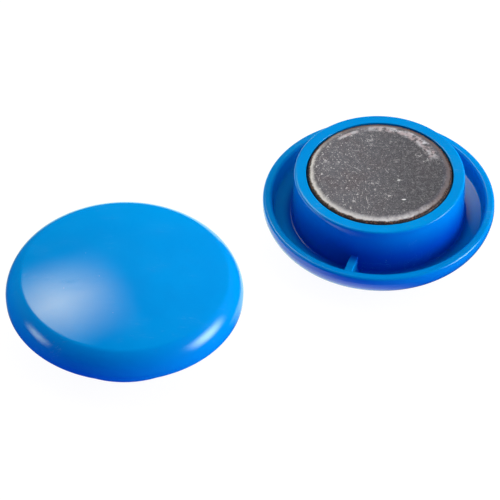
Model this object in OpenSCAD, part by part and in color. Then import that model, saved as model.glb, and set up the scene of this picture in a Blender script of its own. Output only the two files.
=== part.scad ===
// A pair of round holding magnets: a domed plastic cap with a ferrite disc
// bonded into the boss on its underside. One unit stands on its magnet face,
// the other lies turned over on its dome.
//
// Frame: millimetres, +Z up. The origin is the centre of the standing unit's
// magnet face, on the surface that both units rest on. +X runs across the
// pair, +Y runs from the standing unit towards the turned unit.
// Every unit is drawn dome up, with its magnet face at height 0.

/* [Cap] */
// Diameter of the rim
cap_d = 40; // [39.6:0.1:42]
// Height of the whole unit, magnet face to the top of the dome
unit_h = 13; // [12.8:0.1:14]
// Diameter of the edge where the dome meets the shoulder
crown_d = 34.9; // [34:0.1:35.4]
// Height of the edge where the dome meets the shoulder
crown_edge_h = 11.15; // [11:0.05:11.4]
// Height of the sharp parting edge round the rim
rim_edge_h = 7.45; // [7.2:0.05:7.8]
// How far the shoulder bulges beyond a straight cone
shoulder_bulge = 0.55; // [0.3:0.05:0.8]
// Height of the lip crown, the lowest line of the rim
lip_h = 6.25; // [6:0.05:6.5]
// Diameter of the inner edge of the lip
lip_inner_d = 36.8; // [36.4:0.1:37]
// Diameter of the channel floor at its outer corner
channel_d = 36; // [35.4:0.1:36.2]
// Height of the channel floor at its outer corner
channel_h = 9.1; // [8.9:0.05:9.2]
// Slope of the channel floor, which follows the dome up towards the boss
channel_slope = 9; // [7:0.5:11]

/* [Boss] */
// Outside diameter of the boss at its foot
boss_foot_d = 29.3; // [29:0.1:30]
// Outside diameter of the boss at the channel floor
boss_base_d = 29.8; // [29.6:0.1:30.6]
// Diameter of the bore that takes the magnet
bore_d = 25.3; // [25.2:0.05:25.8]
// How far the magnet face stands proud of the boss foot
magnet_proud = 0.4; // [0.2:0.05:0.6]
// Diameter of the core above the magnet seat
core_d = 22; // [20:0.5:23]
// Thickness of the dome wall above the core
dome_wall = 2.2; // [1.8:0.1:2.6]

/* [Ribs] */
// Number of ribs across the channel
rib_count = 2; // [1:1:6]
// Thickness of a rib
rib_w = 1.4; // [1:0.1:2]
// Direction of the first rib, counter-clockwise from +X
rib_angle = 107; // [0:1:359]
// How far the rib crest stays above the lip crown
rib_inset = 0.15; // [0.1:0.05:0.6]

/* [Magnet] */
// Diameter of the ferrite disc
magnet_d = 25; // [24.4:0.1:25]
// Thickness of the ferrite disc
magnet_t = 5; // [4.5:0.1:5.5]
// Width of the shallow bevel round the holding face
bevel_w = 1.1; // [0.8:0.1:1.4]
// Depth of the shallow bevel at its outer edge
bevel_h = 0.35; // [0.2:0.05:0.45]
// Radius of the disc's rounded edges
magnet_edge = 0.5; // [0.3:0.05:0.6]
// Thickness of the adhesive between disc and seat
bond_t = 0.2; // [0.1:0.05:0.3]
// Depth of the adhesive below the boss foot, seen as the dark gap
bond_gap = 1; // [0.8:0.1:1.5]

/* [Pair] */
// Offset of the turned unit from the standing unit, across
pair_x = 43; // [43:0.1:60]
// Offset of the turned unit from the standing unit, away
pair_y = 24.1; // [20:0.1:40]

/* [Hidden] */
$fn = 96;

cap_r = cap_d / 2;
crown_r = crown_d / 2;
lip_inner_r = lip_inner_d / 2;
channel_r = channel_d / 2;
foot_r = boss_foot_d / 2;
base_r = boss_base_d / 2;
bore_r = bore_d / 2;
core_r = core_d / 2;
magnet_r = magnet_d / 2;
foot_h = magnet_proud;
seat_h = magnet_t + bond_t;
foot_round = 0.4;
lip_round = 0.45;
mouth = 0.15;

// Height of the channel floor at radius r
function floor_h(r) = channel_h + (channel_r - r) * tan(channel_slope);

// Sphere of the dome, through the apex and the crown edge
dome_rise = unit_h - crown_edge_h;
dome_r = (crown_r * crown_r + dome_rise * dome_rise) / (2 * dome_rise);

// Circle of the shoulder, through the crown edge and the parting edge
sx = cap_r - crown_r;
sz = rim_edge_h - crown_edge_h;
chord = sqrt(sx * sx + sz * sz);
shoulder_r = (chord * chord / 4 + shoulder_bulge * shoulder_bulge)
           / (2 * shoulder_bulge);
shoulder_x = (crown_r + cap_r) / 2 + (shoulder_r - shoulder_bulge) * sz / chord;
shoulder_z = (crown_edge_h + rim_edge_h) / 2 - (shoulder_r - shoulder_bulge) * sx / chord;

// Points along an arc, from angle a to angle b in n steps
function arc(x, z, r, a, b, n) =
    [for (i = [0 : n]) [x + r * cos(a + (b - a) * i / n), z + r * sin(a + (b - a) * i / n)]];

// Dome wall over the channel and the boss
module dome_section() {
    intersection() {
        translate([0, unit_h - dome_r]) circle(r = dome_r);
        polygon([[0, floor_h(base_r)], [base_r, floor_h(base_r)], [crown_r, floor_h(crown_r)],
                 [crown_r, unit_h + 1], [0, unit_h + 1]]);
    }
}

// Bulged shoulder between the crown edge and the parting edge
module shoulder_section() {
    intersection() {
        translate([shoulder_x, shoulder_z]) circle(r = shoulder_r);
        polygon([[crown_r, crown_edge_h],
                 [crown_r + sx / 2 - sz, crown_edge_h + sz / 2 + sx],
                 [cap_r, rim_edge_h],
                 [crown_r - 1.5, rim_edge_h]]);
    }
}

// Rim: the outer band, the rounded lip and its inner wall
module rim_section() {
    polygon(concat(
        [[crown_r - 1.5, floor_h(crown_r - 1.5)], [crown_r - 1.5, crown_edge_h - 0.4],
         [crown_r, crown_edge_h], [cap_r, rim_edge_h]],
        arc(cap_r - lip_round, lip_h + lip_round, lip_round, 0, -90, 6),
        arc(lip_inner_r + lip_round, lip_h + lip_round, lip_round, -90, -172, 6),
        [[channel_r, channel_h]]));
}

// Boss, solid to the axis before it is bored, with a fillet where it meets the floor
module boss_section() {
    f = 0.35;
    root_h = floor_h(base_r + f);
    polygon(concat(
        [[0, root_h + 0.6], [0, foot_h]],
        arc(foot_r - foot_round, foot_h + foot_round, foot_round, -90, 0, 6),
        arc(base_r + f, root_h - f / cos(channel_slope), f, 180, 90 + channel_slope, 4),
        [[base_r + f, root_h + 0.6]]));
}

// Bore with a broken edge at its mouth, and the core above the magnet seat
module bore_section() {
    polygon([[0, foot_h - 1], [bore_r + mouth, foot_h - 1], [bore_r + mouth, foot_h],
             [bore_r, foot_h + mouth], [bore_r, seat_h], [0, seat_h]]);
    intersection() {
        translate([0, unit_h - dome_r]) circle(r = dome_r - dome_wall);
        polygon([[0, seat_h - 0.5], [core_r, seat_h - 0.5], [core_r, unit_h], [0, unit_h]]);
    }
}

// Radial ribs that cross the channel from the boss to the lip
module ribs() {
    crest = lip_h + rib_inset;
    for (i = [0 : rib_count - 1])
        rotate([0, 0, rib_angle + i * 360 / rib_count])
            rotate([90, 0, 0])
                linear_extrude(height = rib_w, center = true)
                    polygon([[foot_r - 0.5, crest], [lip_inner_r + 0.5, crest],
                             [lip_inner_r + 0.5, floor_h(channel_r) + 0.3],
                             [foot_r - 0.5, floor_h(foot_r) + 0.3]]);
}

module cap() {
    difference() {
        union() {
            rotate_extrude() difference() {
                union() {
                    dome_section();
                    shoulder_section();
                    rim_section();
                    boss_section();
                }
                bore_section();
            }
            ribs();
        }
    }
}

// Ferrite disc: flat faces, a shallow bevel round the holding face, rounded edges
module magnet() {
    e = magnet_edge;
    a = atan2(bevel_h, bevel_w);
    rotate_extrude() polygon(concat(
        [[0, magnet_t], [0, 0], [magnet_r - e - bevel_w, 0]],
        arc(magnet_r - e, bevel_h + e / cos(a), e, a - 90, 0, 4),
        arc(magnet_r - e, magnet_t - e, e, 0, 90, 4)));
}

// Bond between the disc, the seat and the bore wall
module adhesive() {
    top = foot_h + bond_gap;
    rotate_extrude() polygon([[core_r + 0.2, magnet_t], [core_r + 0.2, seat_h], [bore_r, seat_h],
                              [bore_r, top], [magnet_r, top + 0.15], [magnet_r, magnet_t]]);
}

// Turns a unit over and sets it down on its dome
module turned() {
    translate([pair_x, pair_y, unit_h]) rotate([180, 0, 0]) children();
}

module standing_cap() { color([0.0, 0.53, 0.87]) cap(); }
module standing_magnet() { color([0.33, 0.32, 0.33]) magnet(); }
module standing_adhesive() { color([0.30, 0.23, 0.16]) adhesive(); }
module turned_cap() { color([0.0, 0.53, 0.87]) turned() cap(); }
module turned_magnet() { color([0.33, 0.32, 0.33]) turned() magnet(); }
module turned_adhesive() { color([0.30, 0.23, 0.16]) turned() adhesive(); }

standing_cap();
standing_magnet();
standing_adhesive();
turned_cap();
turned_magnet();
turned_adhesive();
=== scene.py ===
import math

import bpy
import numpy as np
from mathutils import Matrix, Vector


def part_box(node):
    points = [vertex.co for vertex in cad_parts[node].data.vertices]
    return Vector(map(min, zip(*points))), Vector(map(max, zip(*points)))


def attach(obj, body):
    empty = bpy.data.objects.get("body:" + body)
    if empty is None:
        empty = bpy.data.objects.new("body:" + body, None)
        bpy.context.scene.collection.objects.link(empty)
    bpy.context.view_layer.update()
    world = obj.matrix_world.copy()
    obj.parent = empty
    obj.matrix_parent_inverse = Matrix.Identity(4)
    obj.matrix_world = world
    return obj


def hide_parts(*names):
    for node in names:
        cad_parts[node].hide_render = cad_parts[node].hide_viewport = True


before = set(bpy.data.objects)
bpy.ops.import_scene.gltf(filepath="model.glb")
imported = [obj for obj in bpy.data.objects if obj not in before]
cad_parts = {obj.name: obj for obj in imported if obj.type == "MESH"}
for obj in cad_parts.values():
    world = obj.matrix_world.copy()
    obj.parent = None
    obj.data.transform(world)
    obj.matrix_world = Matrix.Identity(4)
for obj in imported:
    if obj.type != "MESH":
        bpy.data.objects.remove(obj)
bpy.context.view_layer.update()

MM = 0.001

# ---------------------------------------------------------------- sizes, in millimetres, dome up, magnet face at 0
CAP_R, UNIT_H = 20.0, 13.0
CROWN_R, CROWN_Z = 17.45, 11.15
EDGE_Z, BULGE = 7.45, 0.55
LIP_Z, LIP_ROUND, LIP_IN_R = 6.25, 0.45, 18.4
CH_R, CH_Z, CH_SLOPE = 18.0, 9.1, 9.0
FOOT_R, BASE_R, FOOT_Z = 14.65, 14.9, 0.4
BORE_R, SEAT_Z, CORE_R, WALL = 12.65, 5.2, 11.0, 2.2
MAG_R, MAG_T, BEVEL_R, BEVEL_TAN, MAG_EDGE = 12.5, 5.0, 10.9, 0.35 / 1.1, 0.5
RIB_W, RIB_CREST = 1.4, 6.4
RIB_ANGLES = [107.0, 287.0]

lo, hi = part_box("turned_cap")
PAIR = np.array([(lo[0] + hi[0]) / 2, (lo[1] + hi[1]) / 2, 0.0]) / MM

rise = UNIT_H - CROWN_Z
DOME_R = (CROWN_R ** 2 + rise ** 2) / (2 * rise)
sx, sz = CAP_R - CROWN_R, EDGE_Z - CROWN_Z
chord = math.hypot(sx, sz)
SH_R = (chord ** 2 / 4 + BULGE ** 2) / (2 * BULGE)
SH_X = (CROWN_R + CAP_R) / 2 + (SH_R - BULGE) * sz / chord
SH_Z = (CROWN_Z + EDGE_Z) / 2 - (SH_R - BULGE) * sx / chord


# ---------------------------------------------------------------- small tools
def bez(p0, p1, p2, n):
    t = np.linspace(0, 1, n)[:, None]
    p0, p1, p2 = (np.asarray(p, float) for p in (p0, p1, p2))
    return (1 - t) ** 2 * p0 + 2 * t * (1 - t) * p1 + t ** 2 * p2


def cut(path, d, end=True):
    """The path shortened by length d at its end or its start."""
    p = np.asarray(path, float)
    if not end:
        return cut(p[::-1], d)[::-1]
    seg = np.hypot(*(p[1:] - p[:-1]).T)
    s = np.r_[0, np.cumsum(seg)]
    L = max(s[-1] - d, 1e-4)
    k = int(np.searchsorted(s, L))
    k = min(max(k, 1), len(p) - 1)
    t = (L - s[k - 1]) / max(s[k] - s[k - 1], 1e-9)
    return np.vstack([p[:k], p[k - 1] + t * (p[k] - p[k - 1])])


def spread(path, n, guard=0.07):
    """n points along a path, with a close pair at each end, so that shading stays flat up to the fillets."""
    p = np.asarray(path, float)
    seg = np.hypot(*(p[1:] - p[:-1]).T)
    s = np.r_[0, np.cumsum(seg)]
    L = s[-1]
    g = min(guard, L * 0.2)
    want = np.r_[0, g, np.linspace(g, L - g, n - 2)[1:-1], L - g, L]
    return np.column_stack([np.interp(want, s, p[:, 0]), np.interp(want, s, p[:, 1])])


def arc(x, z, r, a, b, n):
    t = np.radians(np.linspace(a, b, n))
    return np.column_stack([x + r * np.cos(t), z + r * np.sin(t)])


def chain(paths, radii, counts, nf):
    """Joins paths end to start, with a fillet of the given setback between each pair."""
    out = []
    for i, p in enumerate(paths):
        q = np.asarray(p, float)
        if i > 0:
            q = cut(q, radii[i - 1], end=False)
        if i < len(paths) - 1:
            q = cut(q, radii[i], end=True)
        if i > 0:
            out.append(bez(out[-1][-1], paths[i][0], q[0], nf)[1:-1])
        out.append(spread(q, counts[i]))
    return np.vstack(out)


def floor_z(r):
    """Height of the channel floor, which slopes like the dome above it."""
    return CH_Z + (CH_R - r) * math.tan(math.radians(CH_SLOPE))


def dome_arc(r0, r1, rad, n):
    r = np.linspace(r0, r1, n)
    return np.column_stack([r, UNIT_H - DOME_R + np.sqrt(rad ** 2 - r ** 2)])


def cap_profile(h):
    """The cap's closed section from the dome's apex round to the core's ceiling. The channel floor is moved
    towards the rib's crest by the fraction h."""
    floor = CH_Z - h * (CH_Z - RIB_CREST)
    root = floor_z(BASE_R)
    inner_floor = root - h * (root - RIB_CREST)
    dome = dome_arc(0.12, CROWN_R, DOME_R, 240)
    a0 = math.degrees(math.atan2(CROWN_Z - SH_Z, CROWN_R - SH_X))
    a1 = math.degrees(math.atan2(EDGE_Z - SH_Z, CAP_R - SH_X))
    shoulder = arc(SH_X, SH_Z, SH_R, a0, a1, 90)
    band = [(CAP_R, EDGE_Z), (CAP_R - 0.03, LIP_Z + LIP_ROUND)]
    lip_out = arc(CAP_R - 0.03 - LIP_ROUND, LIP_Z + LIP_ROUND, LIP_ROUND, 0, -90, 14)
    band = np.vstack([band, lip_out[1:]])
    crown = [(CAP_R - 0.03 - LIP_ROUND, LIP_Z), (LIP_IN_R + LIP_ROUND, LIP_Z)]
    inner = arc(LIP_IN_R + LIP_ROUND, LIP_Z + LIP_ROUND, LIP_ROUND, -90, -172, 14)
    wall = np.vstack([inner, [(CH_R, CH_Z)]])
    # the lip's inner wall down to this floor
    z = wall[:, 1]
    k = int(np.searchsorted(z, floor))
    k = min(max(k, 1), len(wall) - 1)
    t = (floor - z[k - 1]) / max(z[k] - z[k - 1], 1e-9)
    wall = np.vstack([wall[:k], wall[k - 1] + t * (wall[k] - wall[k - 1])])
    rw = wall[-1][0]
    rb = FOOT_R + (BASE_R - FOOT_R) * (inner_floor - FOOT_Z) / (root - FOOT_Z)
    ground = [(rw, floor), (rb, inner_floor)]
    boss = [(rb, inner_floor), (FOOT_R, FOOT_Z)]
    foot = [(FOOT_R, FOOT_Z), (BORE_R, FOOT_Z)]
    bore = [(BORE_R, FOOT_Z), (BORE_R, SEAT_Z)]
    seat = [(BORE_R, SEAT_Z), (CORE_R, SEAT_Z)]
    ceil_z = UNIT_H - DOME_R + math.sqrt((DOME_R - WALL) ** 2 - CORE_R ** 2)
    core = [(CORE_R, SEAT_Z), (CORE_R, ceil_z)]
    ceiling = dome_arc(CORE_R, 0.12, DOME_R - WALL, 60)
    room = max(floor - LIP_Z, 0.02)
    fw = min(0.30, 0.35 * room)
    return chain(
        [dome, shoulder, band, crown, wall, ground, boss, foot, bore, seat, core, ceiling],
        [0.30, 0.10, 0.02, 0.02, fw, min(0.42, 0.4 * room + 0.1), 0.42, 0.16, 0.1, 0.1, 0.2],
        [46, 18, 16, 5, 12, 9, 10, 7, 5, 3, 4, 8], 7)


def rib_columns():
    """Lateral offset and height of the rib's own section, from one side to the other. Height 1 is the crest."""
    H = CH_Z - RIB_CREST
    w = RIB_W / 2
    side = [(w + 0.75, 0.0), (w + 0.42, 0.0)]
    side += [tuple(p) for p in bez((w + 0.32, 0.0), (w + 0.08, 0.0), (w + 0.07, 0.25), 6)]
    side += [(w + 0.045, 0.9), (w + 0.02, 1.7), (w, H - 0.24)]
    side += [tuple(p) for p in bez((w - 0.002, H - 0.2), (w - 0.005, H), (w - 0.2, H), 6)]
    side += [(w - 0.3, H), (w - 0.5, H)]
    side = [(u, h / H) for u, h in side]
    left = [(-u, h) for u, h in side]
    return left + [(u, h) for u, h in side[::-1]]


def cap_mesh(name):
    cols = []  # (base angle, lateral offset or None, rib height)
    step = 360.0 / 300
    ribs = rib_columns()
    reach = math.degrees(math.asin((RIB_W / 2 + 0.75) / 14.2)) + step * 0.6
    for k in range(300):
        a = k * step
        if all(abs((a - r + 180) % 360 - 180) > reach for r in RIB_ANGLES):
            cols.append((math.radians(a), None, 0.0))
    for r in RIB_ANGLES:
        for u, h in ribs:
            cols.append((math.radians(r), u, h))
    cols.sort(key=lambda c: (c[0] + (c[1] or 0) / 16.5) % (2 * math.pi))
    cache = {}
    rows = None
    verts = []
    for base, u, h in cols:
        key = round(h, 5)
        if key not in cache:
            cache[key] = cap_profile(h)
        p = cache[key]
        rows = len(p)
        if u is None:
            ang = np.full(rows, base)
        else:
            ang = base + np.arcsin(u / np.clip(p[:, 0], 14.2, 19.0))
        verts.append(np.column_stack([p[:, 0] * np.cos(ang), p[:, 0] * np.sin(ang), p[:, 1]]))
    n = len(cols)
    V = np.vstack(verts + [[[0, 0, UNIT_H]], [[0, 0, UNIT_H - WALL]]])
    top, bottom = n * rows, n * rows + 1
    faces = []
    for c in range(n):
        d = (c + 1) % n
        A, B = c * rows, d * rows
        faces.append((top, A, B))
        for r in range(rows - 1):
            faces.append((A + r, A + r + 1, B + r + 1, B + r))
        faces.append((A + rows - 1, bottom, B + rows - 1))
    return V, faces


def lattice(seed, n=64):
    return np.random.RandomState(seed).rand(n, n)


def noise2(x, y, seed=1, n=64):
    """Smooth value noise on a torus of n cells."""
    g = lattice(seed, n)
    xi, yi = np.floor(x).astype(int), np.floor(y).astype(int)
    fx, fy = x - xi, y - yi
    fx, fy = fx * fx * (3 - 2 * fx), fy * fy * (3 - 2 * fy)
    a, b = g[xi % n, yi % n], g[(xi + 1) % n, yi % n]
    c, d = g[xi % n, (yi + 1) % n], g[(xi + 1) % n, (yi + 1) % n]
    return a * (1 - fx) * (1 - fy) + b * fx * (1 - fy) + c * (1 - fx) * fy + d * fx * fy


def revolve(profile, n, warp=None):
    """A closed solid from a section that starts and ends on the axis. warp(angle, profile) moves the section's points."""
    rows = len(profile)
    verts = []
    for c in range(n):
        a = 2 * math.pi * c / n
        p = profile if warp is None else warp(a, profile.copy())
        verts.append(np.column_stack([p[:, 0] * math.cos(a), p[:, 0] * math.sin(a), p[:, 1]]))
    V = np.vstack(verts + [[[0, 0, profile[0, 1]]], [[0, 0, profile[-1, 1]]]])
    top, bottom = n * rows, n * rows + 1
    faces = []
    for c in range(n):
        d = (c + 1) % n
        A, B = c * rows, d * rows
        faces.append((top, B, A))
        for r in range(rows - 1):
            faces.append((A + r, B + r, B + r + 1, A + r + 1))
        faces.append((A + rows - 1, B + rows - 1, bottom))
    return V, faces


def magnet_mesh(seed):
    """Ground ferrite disc: a flat face, a shallow worn bevel round it, chips at its edges, a rough sintered side."""
    d, e = (MAG_R - BEVEL_R) * BEVEL_TAN, MAG_EDGE
    face = [(0.3, 0.0), (BEVEL_R, 0.0)]
    bevel = [(BEVEL_R, 0.0), (MAG_R, d)]
    side = [(MAG_R, d), (MAG_R, MAG_T - e)]
    corner = [(MAG_R, MAG_T - e), (MAG_R - e, MAG_T)]
    back = [(MAG_R - e, MAG_T), (0.3, MAG_T)]
    prof = chain([face, bevel, side, corner, back], [0.16, 0.36, 0.15, 0.15], [56, 14, 10, 4, 12], 7)

    def warp(a, p):
        r, z = p[:, 0], p[:, 1]
        x = a / (2 * math.pi) * 64
        # the bevel's width wanders, and small chips bite into both its edges
        wander = noise2(np.array([x]), np.array([3.0 + seed]), seed)[0] - 0.5
        fine = noise2(np.array([x * 4 % 64]), np.array([9.0]), seed + 1)[0]
        bite = max(0.0, noise2(np.array([x * 3 % 64]), np.array([21.0]), seed + 2)[0] - 0.78)
        inner = np.exp(-((r - (BEVEL_R + 0.10)) / 0.28) ** 2) * (z < 0.5)
        outer = np.exp(-((r - MAG_R) / 0.22) ** 2) * (z > 0.15) * (z < 1.2)
        z2 = z + np.clip((0.05 * wander + 0.03 * (fine - 0.5) + 0.20 * bite) * inner, 0.0, 0.12)
        r2 = r - np.clip((0.10 * (fine - 0.45) + 0.35 * bite) * outer, 0.0, 0.14)
        # the ground face isn't quite flat
        low = noise2(r * 0.45 * math.cos(a) + 20, r * 0.45 * math.sin(a) + 20, seed + 5)
        grit = noise2(r * 2.6 * math.cos(a) + 64, r * 2.6 * math.sin(a) + 64, seed + 6)
        z2 = z2 + (0.010 * low + 0.008 * grit) * (z < 0.02) * (r < BEVEL_R - 0.25)
        p[:, 0], p[:, 1] = r2, np.clip(z2, 0, MAG_T)
        return p

    return revolve(prof, 480, warp)


def adhesive_mesh(seed):
    """The bond: a ring on the seat and a sleeve up the side, with an uneven set edge in the gap."""
    top = FOOT_Z + 1.0
    out_r, in_r = BORE_R - 0.004, MAG_R + 0.004
    pts = np.array([(CORE_R + 0.25, MAG_T + 0.01), (CORE_R + 0.20, (MAG_T + SEAT_Z) / 2), (CORE_R + 0.25, SEAT_Z - 0.01),
                    (11.8, SEAT_Z - 0.005), (out_r - 0.05, SEAT_Z - 0.005), (out_r, SEAT_Z - 0.05), (out_r, 3.2),
                    (out_r, top + 0.05), (out_r - 0.03, top), (in_r + 0.03, top + 0.06), (in_r, top + 0.12),
                    (in_r, 3.2), (in_r, MAG_T - 0.55), (MAG_R - 0.5, MAG_T + 0.01), (11.8, MAG_T + 0.01)])
    n = 300
    rows = len(pts)
    verts = []
    for c in range(n):
        a = 2 * math.pi * c / n
        x = c / n * 64
        lift = 0.5 * (noise2(np.array([x]), np.array([5.0]), seed)[0] - 0.2) + 0.2 * (noise2(np.array([x * 4 % 64]), np.array([7.0]), seed + 1)[0] - 0.5)
        p = pts.copy()
        p[7:11, 1] -= np.clip(lift, -0.1, 0.5)
        verts.append(np.column_stack([p[:, 0] * math.cos(a), p[:, 0] * math.sin(a), p[:, 1]]))
    V = np.vstack(verts)
    faces = []
    for c in range(n):
        d = (c + 1) % n
        for r in range(rows):
            s = (r + 1) % rows
            faces.append((c * rows + r, c * rows + s, d * rows + s, d * rows + r))
    return V, faces


def place(V, turned, spin=0.0):
    V = np.array(V, float)
    if spin:
        c, s = math.cos(spin), math.sin(spin)
        V = np.column_stack([V[:, 0] * c - V[:, 1] * s, V[:, 0] * s + V[:, 1] * c, V[:, 2]])
    if turned:
        V = np.column_stack([V[:, 0], -V[:, 1], UNIT_H - V[:, 2]]) + PAIR
    return V * MM


def piece(name, V, faces, mat, body, node):
    me = bpy.data.meshes.new(name)
    me.from_pydata([tuple(v) for v in V], [], faces)
    me.validate()
    me.polygons.foreach_set("use_smooth", [True] * len(me.polygons))
    import bmesh
    bm = bmesh.new()
    bm.from_mesh(me)
    bmesh.ops.recalc_face_normals(bm, faces=bm.faces)
    bm.to_mesh(me)
    bm.free()
    me.update()
    ob = bpy.data.objects.new(name, me)
    bpy.context.scene.collection.objects.link(ob)
    me.materials.append(mat)
    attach(ob, body)
    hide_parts(node)
    return ob


# ---------------------------------------------------------------- material nodes
class Nodes:
    def __init__(self, tree):
        self.t = tree
        tree.nodes.clear()

    def n(self, kind, **kw):
        node = self.t.nodes.new(kind)
        ins = kw.pop("ins", {})
        for k, v in kw.items():
            setattr(node, k, v)
        for k, v in ins.items():
            self.put(node.inputs[k], v)
        return node

    def put(self, socket, v):
        if isinstance(v, bpy.types.NodeSocket):
            self.t.links.new(v, socket)
        elif isinstance(v, bpy.types.Node):
            self.t.links.new(v.outputs[0], socket)
        else:
            socket.default_value = v

    def math(self, op, a, b=0.0, c=0.0, clamp=False):
        m = self.n("ShaderNodeMath", operation=op, use_clamp=clamp)
        for i, v in enumerate((a, b, c)):
            self.put(m.inputs[i], v)
        return m.outputs[0]

    def vmath(self, op, a, b=None, scale=None):
        m = self.n("ShaderNodeVectorMath", operation=op)
        self.put(m.inputs[0], a)
        if b is not None:
            self.put(m.inputs[1], b)
        if scale is not None:
            self.put(m.inputs["Scale"], scale)
        return m

    def smooth(self, v, a, b, lo=0.0, hi=1.0):
        m = self.n("ShaderNodeMapRange", interpolation_type="SMOOTHSTEP")
        self.put(m.inputs["Value"], v)
        for k, x in (("From Min", a), ("From Max", b), ("To Min", lo), ("To Max", hi)):
            self.put(m.inputs[k], x)
        return m.outputs[0]

    def noise(self, vec, scale, detail=3.0, rough=0.5, dist=0.0):
        m = self.n("ShaderNodeTexNoise", ins={"Vector": vec, "Scale": scale, "Detail": detail, "Roughness": rough, "Distortion": dist})
        return m.outputs["Fac"]

    def mix(self, fac, a, b, kind="MIX"):
        m = self.n("ShaderNodeMix", data_type="RGBA", blend_type=kind)
        self.put(m.inputs[0], fac)
        self.put(m.inputs[6], a)
        self.put(m.inputs[7], b)
        return m.outputs[2]


def lin(r, g, b):
    def f(c):
        c /= 255.0
        return c / 12.92 if c <= 0.04045 else ((c + 0.055) / 1.055) ** 2.4
    return (f(r), f(g), f(b), 1.0)


def unit_vector(k, centre, turned):
    """Position in the unit's own frame, in millimetres, dome up, whatever way the unit lies."""
    co = k.n("ShaderNodeTexCoord").outputs["Object"]
    v = k.vmath("SCALE", co, scale=1000.0).outputs[0]
    v = k.vmath("SUBTRACT", v, tuple(centre)).outputs[0]
    if turned:
        v = k.vmath("MULTIPLY", v, (1.0, -1.0, -1.0)).outputs[0]
        v = k.vmath("ADD", v, (0.0, 0.0, UNIT_H)).outputs[0]
    return v


def cap_material(name, centre, turned):
    m = bpy.data.materials.new(name)
    m.use_nodes = True
    k = Nodes(m.node_tree)
    p = unit_vector(k, centre, turned)
    # colour: a dyed styrene, a touch uneven where it flowed
    cloud = k.noise(p, 0.09, 3.0, 0.55)
    fleck = k.noise(p, 2.2, 2.0, 0.5)
    base = k.mix(k.smooth(cloud, 0.35, 0.65), (0.0, 0.262, 0.700, 1.0), (0.0, 0.280, 0.725, 1.0))
    base = k.mix(k.smooth(fleck, 0.62, 0.75, 0.0, 0.10), base, (0.01, 0.33, 0.82, 1.0))
    # painted shade: down in the channel, most near the boss foot, the base colour is darkened to a deeper blue where
    # shade falls
    flat = k.vmath("MULTIPLY", p, (1.0, 1.0, 0.0)).outputs[0]
    r = k.vmath("LENGTH", flat).outputs["Value"]
    z = k.n("ShaderNodeSeparateXYZ", ins={"Vector": p}).outputs[2]
    inside = k.math("MULTIPLY", k.smooth(r, 14.2, 14.5), k.smooth(r, 18.45, 18.1))
    inside = k.math("MULTIPLY", inside, k.smooth(z, 9.9, 9.75))
    channel_shade = k.math("MULTIPLY", k.smooth(z, 0.0, 7.0), k.smooth(r, 14.9, 16.8, 1.0, 0.05))
    channel_shade = k.math("MULTIPLY", inside, channel_shade)
    base = k.mix(channel_shade, base, k.mix(1.0, base, (1.0, 0.22, 0.70, 1.0), "MULTIPLY"))
    # fine hair scratches, each kept to patches
    scr = None
    for i, (ang, sc, lo_, hi_) in enumerate(((0.5, 1.0, 0.487, 0.513), (1.9, 0.8, 0.490, 0.510), (2.7, 1.3, 0.488, 0.512))):
        rot = k.n("ShaderNodeMapping", ins={"Vector": p, "Rotation": (0.0, 0.0, ang), "Scale": (0.05 * sc, 1.1 * sc, 0.3)})
        f = k.noise(rot.outputs[0], 1.0, 4.0, 0.6, 0.4)
        band = k.math("SUBTRACT", 1.0, k.smooth(k.math("ABSOLUTE", k.math("SUBTRACT", f, 0.5)), 0.0, 0.006))
        patch = k.smooth(k.noise(p, 0.11 + 0.05 * i, 2.0, 0.5), 0.56, 0.70)
        s = k.math("MULTIPLY", band, patch)
        scr = s if scr is None else k.math("MAXIMUM", scr, s)
    # dust: sparse tiny pale specks
    vor = k.n("ShaderNodeTexVoronoi", feature="F1", ins={"Vector": p, "Scale": 0.55, "Randomness": 1.0})
    speck = k.math("MULTIPLY", k.math("LESS_THAN", vor.outputs["Distance"], 0.035),
                   k.math("GREATER_THAN", k.noise(p, 0.33, 0.0), 0.60))
    base = k.mix(k.math("MULTIPLY", scr, 0.20), base, (0.18, 0.50, 0.86, 1.0))
    base = k.mix(k.math("MULTIPLY", speck, 0.55), base, (0.55, 0.72, 0.90, 1.0))
    rough = k.math("ADD", k.smooth(k.noise(p, 0.25, 4.0, 0.6), 0.3, 0.7, 0.045, 0.075), k.math("MULTIPLY", scr, 0.12))
    # moulded surface: long shallow swell, a very fine grain, and the scratches
    swell = k.n("ShaderNodeBump", ins={"Strength": 0.12, "Distance": 0.00008, "Height": k.noise(p, 0.16, 2.0, 0.45)})
    grain = k.n("ShaderNodeBump", ins={"Strength": 0.05, "Distance": 0.00002, "Height": k.noise(p, 9.0, 3.0, 0.6), "Normal": swell.outputs[0]})
    hair = k.n("ShaderNodeBump", ins={"Strength": 0.15, "Distance": 0.00002, "Height": k.math("SUBTRACT", 1.0, scr), "Normal": grain.outputs[0]})
    b = k.n("ShaderNodeBsdfPrincipled", ins={"Base Color": base, "Roughness": rough, "IOR": 1.55, "Normal": hair.outputs[0]})
    k.put(b.inputs["Specular IOR Level"], k.math("MULTIPLY_ADD", inside, -0.16, 0.5))
    out = k.n("ShaderNodeOutputMaterial", ins={"Surface": b.outputs[0]})
    return m


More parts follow.
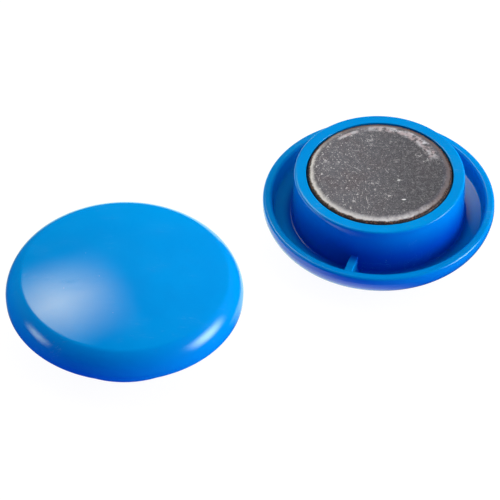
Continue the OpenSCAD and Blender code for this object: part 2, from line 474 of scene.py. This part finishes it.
def marks(k, q, scale, length, width, bend, share, seed):
    """Short curved scratches or specks, one to a cell, each with its own place, direction and size."""
    shifted = k.vmath("ADD", q, (seed * 7.3, seed * 3.1, 0.0)).outputs[0]
    cell = k.vmath("SCALE", shifted, scale=scale).outputs[0]
    vor = k.n("ShaderNodeTexVoronoi", voronoi_dimensions="2D", feature="F1", ins={"Vector": cell, "Scale": 1.0, "Randomness": 1.0})
    d = k.vmath("SUBTRACT", cell, vor.outputs["Position"]).outputs[0]
    rnd = k.n("ShaderNodeSeparateXYZ", ins={"Vector": vor.outputs["Color"]})
    turn = k.n("ShaderNodeVectorRotate", rotation_type="Z_AXIS", ins={"Vector": d, "Angle": k.math("MULTIPLY", rnd.outputs[0], 6.283)})
    uv = k.n("ShaderNodeSeparateXYZ", ins={"Vector": turn.outputs[0]})
    u = k.math("ABSOLUTE", uv.outputs[0])
    curve = k.math("MULTIPLY", k.math("MULTIPLY", u, u), k.math("MULTIPLY_ADD", rnd.outputs[2], 2 * bend, -bend))
    v = k.math("ABSOLUTE", k.math("SUBTRACT", uv.outputs[1], curve))
    size = k.math("MULTIPLY_ADD", rnd.outputs[2], 0.9, 0.45)
    long_ = k.math("MULTIPLY", size, length)
    wide = k.math("MULTIPLY", size, width)
    f = k.math("MULTIPLY", k.smooth(u, long_, k.math("MULTIPLY", long_, 0.55)), k.smooth(v, wide, k.math("MULTIPLY", wide, 0.35)))
    return k.math("MULTIPLY", f, k.math("LESS_THAN", rnd.outputs[1], share))


def spot(k, x, y, cx_, cy_, rx, ry, ang=0.0):
    """A soft round or oval zone on the face, 1 in the middle and 0 outside."""
    c, s_ = math.cos(math.radians(ang)), math.sin(math.radians(ang))
    dx, dy = k.math("SUBTRACT", x, cx_), k.math("SUBTRACT", y, cy_)
    u = k.math("DIVIDE", k.math("ADD", k.math("MULTIPLY", dx, c), k.math("MULTIPLY", dy, s_)), rx)
    v = k.math("DIVIDE", k.math("SUBTRACT", k.math("MULTIPLY", dy, c), k.math("MULTIPLY", dx, s_)), ry)
    q = k.math("ADD", k.math("MULTIPLY", u, u), k.math("MULTIPLY", v, v))
    return k.smooth(q, 1.3, 0.25)


def most(k, items):
    acc = items[0]
    for i in items[1:]:
        acc = k.math("MAXIMUM", acc, i)
    return acc


def ferrite_material(name, centre, turned):
    m = bpy.data.materials.new(name)
    m.use_nodes = True
    k = Nodes(m.node_tree)
    p = unit_vector(k, centre, turned)
    # coordinates on the holding face as it is seen: x to the right, y away
    flat = k.vmath("MULTIPLY", p, (1.0, -1.0, 0.0)).outputs[0]
    r = k.vmath("LENGTH", flat).outputs["Value"]
    sep = k.n("ShaderNodeSeparateXYZ", ins={"Vector": flat})
    x, y = sep.outputs[0], sep.outputs[1]
    z = k.n("ShaderNodeSeparateXYZ", ins={"Vector": p}).outputs[2]
    coarse = k.noise(p, 0.20, 4.0, 0.6)
    mottle = k.noise(p, 1.3, 4.0, 0.65)
    grain = k.noise(p, 4.6, 4.0, 0.75)
    base = k.mix(k.smooth(x, -11.0, 10.0), lin(94, 93, 102), lin(66, 65, 74))
    base = k.mix(k.math("MULTIPLY", k.smooth(coarse, 0.40, 0.70, 0.0, 0.75), k.smooth(x, 3.0, -5.0, 0.25, 1.0)), base, lin(86, 74, 80))
    base = k.mix(k.smooth(mottle, 0.46, 0.72, 0.0, 0.48), base, lin(136, 133, 138))
    base = k.mix(k.smooth(grain, 0.50, 0.70, 0.0, 0.50), base, lin(160, 158, 163))
    base = k.mix(k.smooth(grain, 0.49, 0.32, 0.0, 0.60), base, lin(48, 46, 52))
    # handling marks: specks everywhere but thickest on the left, short curved scratches, a few scuffed spots
    left = k.smooth(k.math("ADD", x, k.math("MULTIPLY", coarse, 6.0)), 10.0, -4.0, 0.30, 1.0)
    tiny = k.math("MULTIPLY", marks(k, flat, 3.1, 0.24, 0.16, 0.3, 0.44, 5.0), left)
    fine_specks = k.math("MULTIPLY", marks(k, flat, 1.7, 0.26, 0.13, 0.3, 0.50, 1.0), left)
    specks = k.math("MULTIPLY", marks(k, flat, 0.60, 0.14, 0.09, 0.4, 0.34, 2.0), left)
    strokes = k.math("MULTIPLY", marks(k, flat, 0.42, 0.30, 0.034, 0.45, 0.24, 3.0), left)
    hairs = k.math("MULTIPLY", marks(k, flat, 0.75, 0.36, 0.034, 0.35, 0.24, 4.0), 0.5)
    ragged = k.smooth(k.noise(p, 3.4, 4.0, 0.7), 0.36, 0.55)
    worn = most(k, [k.math("MULTIPLY", tiny, 0.60), k.math("MULTIPLY", fine_specks, 0.80), k.math("MULTIPLY", specks, 0.85), k.math("MULTIPLY", strokes, 0.75), hairs])
    torn = k.smooth(k.noise(p, 2.1, 5.0, 0.75, 0.8), 0.53, 0.62)
    zones = most(k, [
        spot(k, x, y, -1.2, -2.8, 1.3, 0.8, -10), spot(k, x, y, 1.3, -5.9, 0.8, 1.1), spot(k, x, y, 3.4, -2.1, 0.8, 0.35, 12),
        spot(k, x, y, 6.6, 4.2, 0.9, 0.6, 35), spot(k, x, y, 7.9, 2.9, 0.8, 0.5, 50), spot(k, x, y, -9.0, 6.5, 1.0, 0.9, 45),
        spot(k, x, y, -4.8, 4.1, 1.4, 0.45, -8), spot(k, x, y, -1.5, 7.6, 1.0, 0.9), spot(k, x, y, -9.2, 1.5, 0.6, 2.0),
    ])
    worn = most(k, [k.math("MULTIPLY", worn, k.math("MULTIPLY_ADD", ragged, 0.6, 0.4)), k.math("MULTIPLY", k.math("MULTIPLY", zones, torn), 0.90)])
    base = k.mix(worn, base, lin(214, 210, 210))
    flash = most(k, [spot(k, x, y, 4.0, -6.8, 0.42, 0.16, 5), spot(k, x, y, 3.2, -2.05, 0.30, 0.12, 5), spot(k, x, y, -11.9, -2.0, 0.30, 0.26)])
    base = k.mix(k.math("MULTIPLY", flash, 0.9), base, lin(250, 250, 250))
    # pale residue in an arc along the far right border, and one streak on the far left
    angle = k.math("ARCTAN2", y, x)
    arc_r = k.smooth(angle, 0.30, 1.55, 10.0, 11.1)
    arc_on = k.math("MULTIPLY", k.smooth(angle, 0.22, 0.50), k.smooth(angle, 1.95, 1.60))
    off = k.math("ABSOLUTE", k.math("SUBTRACT", k.math("ADD", r, k.math("MULTIPLY_ADD", mottle, 1.6, -0.8)), arc_r))
    crust = k.math("MULTIPLY", k.math("MULTIPLY", arc_on, k.smooth(off, 1.25, 0.40)), k.smooth(k.noise(p, 0.9, 5.0, 0.8, 0.4), 0.40, 0.56))
    streak = k.math("MULTIPLY", k.math("MULTIPLY", k.smooth(angle, 1.88, 1.96), k.smooth(angle, 2.34, 2.24)),
                    k.smooth(k.math("ABSOLUTE", k.math("SUBTRACT", k.math("MULTIPLY_ADD", mottle, 0.4, r), 10.85)), 0.42, 0.15))
    residue = k.mix(k.smooth(k.noise(p, 0.8, 2.0), 0.4, 0.6), lin(196, 176, 178), lin(208, 205, 210))
    base = k.mix(k.math("MULTIPLY", k.math("MAXIMUM", crust, k.math("MULTIPLY", streak, 0.9)), 0.80), base, residue)
    # the pale worn ring on the bevel, with painted light on it: a painted highlight towards the left and the front, and
    # painted shade, dull at the far side
    wob = k.math("MULTIPLY_ADD", k.noise(p, 0.8, 3.0, 0.6), 0.60, -0.30)
    shifted = k.vmath("LENGTH", k.vmath("SUBTRACT", flat, (0.02, 0.10, 0.0)).outputs[0]).outputs["Value"]
    worn_r = k.math("ADD", shifted, wob)
    ring = k.smooth(worn_r, k.math("MULTIPLY_ADD", k.smooth(y, -11.0, 0.0), 0.35, 10.75), 11.78)
    rim = k.smooth(k.math("ADD", worn_r, k.math("MULTIPLY_ADD", mottle, 0.5, -0.25)), 11.86, 12.12)
    # painted light: how far each point of the bevel turns towards the lit left and front, from the shaded far side
    light_facing = k.math("DIVIDE", k.math("ADD", k.math("MULTIPLY", x, -0.72), k.math("MULTIPLY", y, -0.69)), k.math("MAXIMUM", r, 1.0))
    light_facing = k.math("MULTIPLY_ADD", k.math("ADD", mottle, k.noise(p, 0.7, 2.0)), 0.75, k.math("ADD", light_facing, -0.75))
    bevel_light_tone = k.n("ShaderNodeValToRGB", ins={"Fac": k.smooth(light_facing, -1.0, 1.0)})
    ramp = bevel_light_tone.color_ramp
    ramp.interpolation = "B_SPLINE"
    ramp.elements[0].position, ramp.elements[0].color = 0.0, lin(100, 90, 92)
    ramp.elements[1].position, ramp.elements[1].color = 1.0, lin(232, 227, 220)
    for at, c in ((0.22, lin(114, 102, 102)), (0.48, lin(146, 135, 134)), (0.76, lin(196, 191, 190))):
        e = ramp.elements.new(at)
        e.color = c
    # a brown stain on the bevel, laid on thickest on the side turned from the light: a real stain with painted shade in
    # it
    stain_and_shade = k.math("MULTIPLY", k.smooth(k.noise(p, 2.4, 4.0, 0.7), 0.52, 0.64), k.smooth(light_facing, 1.1, -0.2, 0.15, 0.75))
    bevel = k.mix(stain_and_shade, bevel_light_tone.outputs["Color"], lin(112, 88, 76))
    base = k.mix(ring, base, bevel)
    # outside the worn ring the bevel is dark, with rust-brown flecks
    fleck = k.mix(k.smooth(k.noise(p, 3.1, 4.0, 0.75), 0.52, 0.62), lin(44, 36, 40), lin(146, 96, 66))
    base = k.mix(rim, base, fleck)
    # glue-stained side below the bevel
    edge = k.smooth(k.math("ADD", z, k.math("MULTIPLY_ADD", grain, 0.16, -0.08)), 0.42, 0.60)
    rust = k.mix(k.smooth(k.noise(p, 2.9, 3.0, 0.7), 0.60, 0.70), lin(30, 24, 30), lin(96, 62, 46))
    base = k.mix(edge, base, rust)
    rough = k.math("SUBTRACT", k.smooth(grain, 0.3, 0.7, 0.48, 0.64), k.math("MULTIPLY", ring, 0.12))
    b1 = k.n("ShaderNodeBump", ins={"Strength": 0.45, "Distance": 0.00005, "Height": grain})
    b2 = k.n("ShaderNodeBump", ins={"Strength": 0.4, "Distance": 0.00006, "Height": mottle, "Normal": b1.outputs[0]})
    pits = k.n("ShaderNodeTexVoronoi", feature="F1", ins={"Vector": p, "Scale": 1.7, "Randomness": 1.0})
    pit = k.smooth(pits.outputs["Distance"], 0.05, 0.13)
    b3 = k.n("ShaderNodeBump", ins={"Strength": 0.3, "Distance": 0.00008, "Height": pit, "Normal": b2.outputs[0]})
    b = k.n("ShaderNodeBsdfPrincipled", ins={"Base Color": base, "Roughness": rough, "Metallic": 0.0, "Normal": b3.outputs[0]})
    k.n("ShaderNodeOutputMaterial", ins={"Surface": b.outputs[0]})
    return m


def adhesive_material(name, centre, turned):
    m = bpy.data.materials.new(name)
    m.use_nodes = True
    k = Nodes(m.node_tree)
    p = unit_vector(k, centre, turned)
    f = k.noise(p, 1.6, 4.0, 0.65)
    base = k.mix(k.smooth(f, 0.35, 0.65), lin(20, 18, 26), lin(60, 44, 34))
    bump = k.n("ShaderNodeBump", ins={"Strength": 0.5, "Distance": 0.00006, "Height": f})
    b = k.n("ShaderNodeBsdfPrincipled", ins={"Base Color": base, "Roughness": k.smooth(f, 0.3, 0.7, 0.35, 0.6), "Normal": bump.outputs[0]})
    k.n("ShaderNodeOutputMaterial", ins={"Surface": b.outputs[0]})
    return m


# ---------------------------------------------------------------- the two units
for tag, turned, centre, seed in (("standing", False, (0.0, 0.0, 0.0), 11), ("turned", True, tuple(PAIR + np.array([0, 0, UNIT_H])), 23)):
    body = tag + "_unit"
    # the turned unit's frame: flip about X, so z' = UNIT_H - z
    c = tuple(PAIR) if turned else (0.0, 0.0, 0.0)
    V, F = cap_mesh(tag)
    cap = piece(tag + "_cap_shell", place(V, turned), F, cap_material(tag + "_cap_plastic", c, turned), body, tag + "_cap")
    V, F = magnet_mesh(seed)
    mag = piece(tag + "_ferrite_disc", place(V, turned), F, ferrite_material(tag + "_ferrite", c, turned), body, tag + "_magnet")
    V, F = adhesive_mesh(seed + 40)
    adh = piece(tag + "_bond", place(V, turned), F, adhesive_material(tag + "_adhesive", c, turned), body, tag + "_adhesive")
    # the hidden CAD nodes carry the same finish
    for node, mt in ((tag + "_cap", cap.data.materials[0]), (tag + "_magnet", mag.data.materials[0]), (tag + "_adhesive", adh.data.materials[0])):
        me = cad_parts[node].data
        if len(me.materials):
            me.materials[0] = mt
        else:
            me.materials.append(mt)

# ---------------------------------------------------------------- floor
me = bpy.data.meshes.new("floor")
s = 6.0
me.from_pydata([(-s, -s, 0), (s, -s, 0), (s, s, 0), (-s, s, 0)], [], [(0, 1, 2, 3)])
floor = bpy.data.objects.new("floor", me)
floor.location = (0, 0, -0.00002)
bpy.context.scene.collection.objects.link(floor)
fm = bpy.data.materials.new("floor_paper")
fm.use_nodes = True
k = Nodes(fm.node_tree)
path = k.n("ShaderNodeLightPath")
# seen directly it is white paper with a faint contact shadow
paper = k.n("ShaderNodeBsdfDiffuse", ins={"Color": (0.11, 0.105, 0.095, 1.0)})
glow = k.n("ShaderNodeEmission", ins={"Color": (1.0, 1.0, 1.0, 1.0), "Strength": 0.95})
seen = k.n("ShaderNodeAddShader")
k.t.links.new(paper.outputs[0], seen.inputs[0])
k.t.links.new(glow.outputs[0], seen.inputs[1])
# what it throws back on the plastic, and its pale reflection, which stays between and behind the units
bounce = k.n("ShaderNodeEmission", ins={"Color": (0.22, 0.16, 0.90, 1.0), "Strength": 1.0})
at = k.n("ShaderNodeSeparateXYZ", ins={"Vector": k.n("ShaderNodeNewGeometry").outputs["Position"]})
pale = k.math("MULTIPLY", k.smooth(at.outputs[1], -0.004, 0.006), k.math("MULTIPLY", k.smooth(at.outputs[0], -0.030, -0.012), k.smooth(at.outputs[0], 0.052, 0.038)))
mirror = k.n("ShaderNodeEmission", ins={"Color": (1.0, 1.22, 0.88, 1.0), "Strength": k.math("MULTIPLY_ADD", pale, 1.12, 0.01)})
other = k.n("ShaderNodeMixShader", ins={"Fac": path.outputs["Is Glossy Ray"]})
k.t.links.new(bounce.outputs[0], other.inputs[1])
k.t.links.new(mirror.outputs[0], other.inputs[2])
both = k.n("ShaderNodeMixShader", ins={"Fac": path.outputs["Is Camera Ray"]})
k.t.links.new(other.outputs[0], both.inputs[1])
k.t.links.new(seen.outputs[0], both.inputs[2])
k.n("ShaderNodeOutputMaterial", ins={"Surface": both.outputs[0]})
me.materials.append(fm)

# ---------------------------------------------------------------- studio: soft light by direction
world = bpy.data.worlds.new("studio")
bpy.context.scene.world = world
world.use_nodes = True
k = Nodes(world.node_tree)
direction = k.n("ShaderNodeTexCoord").outputs["Generated"]


def heading(az, el):
    a, e = math.radians(az), math.radians(el)
    return (math.sin(a) * math.cos(e), math.cos(a) * math.cos(e), math.sin(e))


def lobe(az, el, sharp, colour):
    """A round soft light of the given colour at its centre."""
    dot = k.vmath("DOT_PRODUCT", direction, heading(az, el)).outputs["Value"]
    f = k.math("EXPONENT", k.math("MULTIPLY", k.math("SUBTRACT", dot, 1.0), sharp))
    return k.vmath("SCALE", tuple(colour), scale=f).outputs[0]


def window(az, el, half_w, half_h, soft_w, soft_h, colour, roll=0.0):
    """A softbox seen by gloss: half sizes and soft borders in tangent units."""
    c = Vector(heading(az, el))
    u = Vector((0, 0, 1)).cross(c) * -1.0
    u.normalize()
    v = u.cross(c) * 1.0
    v.normalize()
    if v.z < 0:
        v = -v
    if roll:
        cr, sr = math.cos(math.radians(roll)), math.sin(math.radians(roll))
        u, v = u * cr + v * sr, v * cr - u * sr
    dc = k.vmath("DOT_PRODUCT", direction, tuple(c)).outputs["Value"]
    safe = k.math("MAXIMUM", dc, 0.02)
    a = k.math("ABSOLUTE", k.math("DIVIDE", k.vmath("DOT_PRODUCT", direction, tuple(u)).outputs["Value"], safe))
    b = k.math("ABSOLUTE", k.math("DIVIDE", k.vmath("DOT_PRODUCT", direction, tuple(v)).outputs["Value"], safe))
    f = k.math("MULTIPLY", k.smooth(a, half_w + soft_w, half_w - soft_w), k.smooth(b, half_h + soft_h, half_h - soft_h))
    f = k.math("MULTIPLY", f, k.math("GREATER_THAN", dc, 0.05))
    return k.vmath("SCALE", tuple(colour), scale=f).outputs[0]


def total(parts):
    acc = parts[0]
    for q in parts[1:]:
        acc = k.vmath("ADD", acc, q).outputs[0]
    return acc


diffuse_env = total([
    lobe(-60, 12, 9.0, (2.5, 2.5, 2.5)),
    lobe(60, 12, 9.0, (4.1, 4.1, 3.9)),
    lobe(100, 12, 9.0, (6.0, 6.2, 6.2)),
    lobe(-45, 38, 9.0, (1.4, 1.4, 1.3)),
    lobe(0, 38, 9.0, (2.05, 2.05, 1.75)),
    lobe(140, 12, 9.0, (0.0, 0.0, 0.9)),
    lobe(-100, 12, 9.0, (0.0, 0.15, 0.4)),
])
gloss_env = total([
    window(-24, 52.2, 0.125, 0.108, 0.15, 0.18, (8.0, 6.8, 3.6)),
    window(98.5, 19.5, 0.235, 0.198, 0.22, 0.175, (9.5, 12.0, 13.0)),
    window(-98.5, 12, 0.165, 0.15, 0.155, 0.15, (4.3, 4.8, 3.6)),
])
path = k.n("ShaderNodeLightPath")
# the soft boxes show in the first mirror image only
first = k.math("LESS_THAN", path.outputs["Glossy Depth"], 1.5)
gloss_env = k.vmath("SCALE", gloss_env, scale=first).outputs[0]
env = k.mix(path.outputs["Is Glossy Ray"], diffuse_env, gloss_env)
env = k.mix(path.outputs["Is Camera Ray"], env, (1.0, 1.0, 1.0, 1.0))
bg = k.n("ShaderNodeBackground", ins={"Color": env, "Strength": 1.0})
k.n("ShaderNodeOutputWorld", ins={"Surface": bg.outputs[0]})

# ---------------------------------------------------------------- camera
el, roll = math.radians(44.73), math.radians(0.79)
target = Vector((20.95, 17.69, 0.0)) * MM
dist = 689.6 * MM
look = Vector((0, math.cos(el), -math.sin(el)))
up = Vector((0, math.sin(el), math.cos(el)))
right = Vector((1, 0, 0))
cx = right * math.cos(roll) + up * math.sin(roll)
cy = up * math.cos(roll) - right * math.sin(roll)
cam = bpy.data.cameras.new("camera")
cam.lens, cam.sensor_width = 288.0, 36.0
cam.clip_start, cam.clip_end = 0.01, 50.0
co = bpy.data.objects.new("camera", cam)
bpy.context.scene.collection.objects.link(co)
m = Matrix((cx, cy, -look)).transposed().to_4x4()
m.translation = target - look * dist
co.matrix_world = m
bpy.context.scene.camera = co
bpy.context.scene.view_settings.view_transform = "Standard"
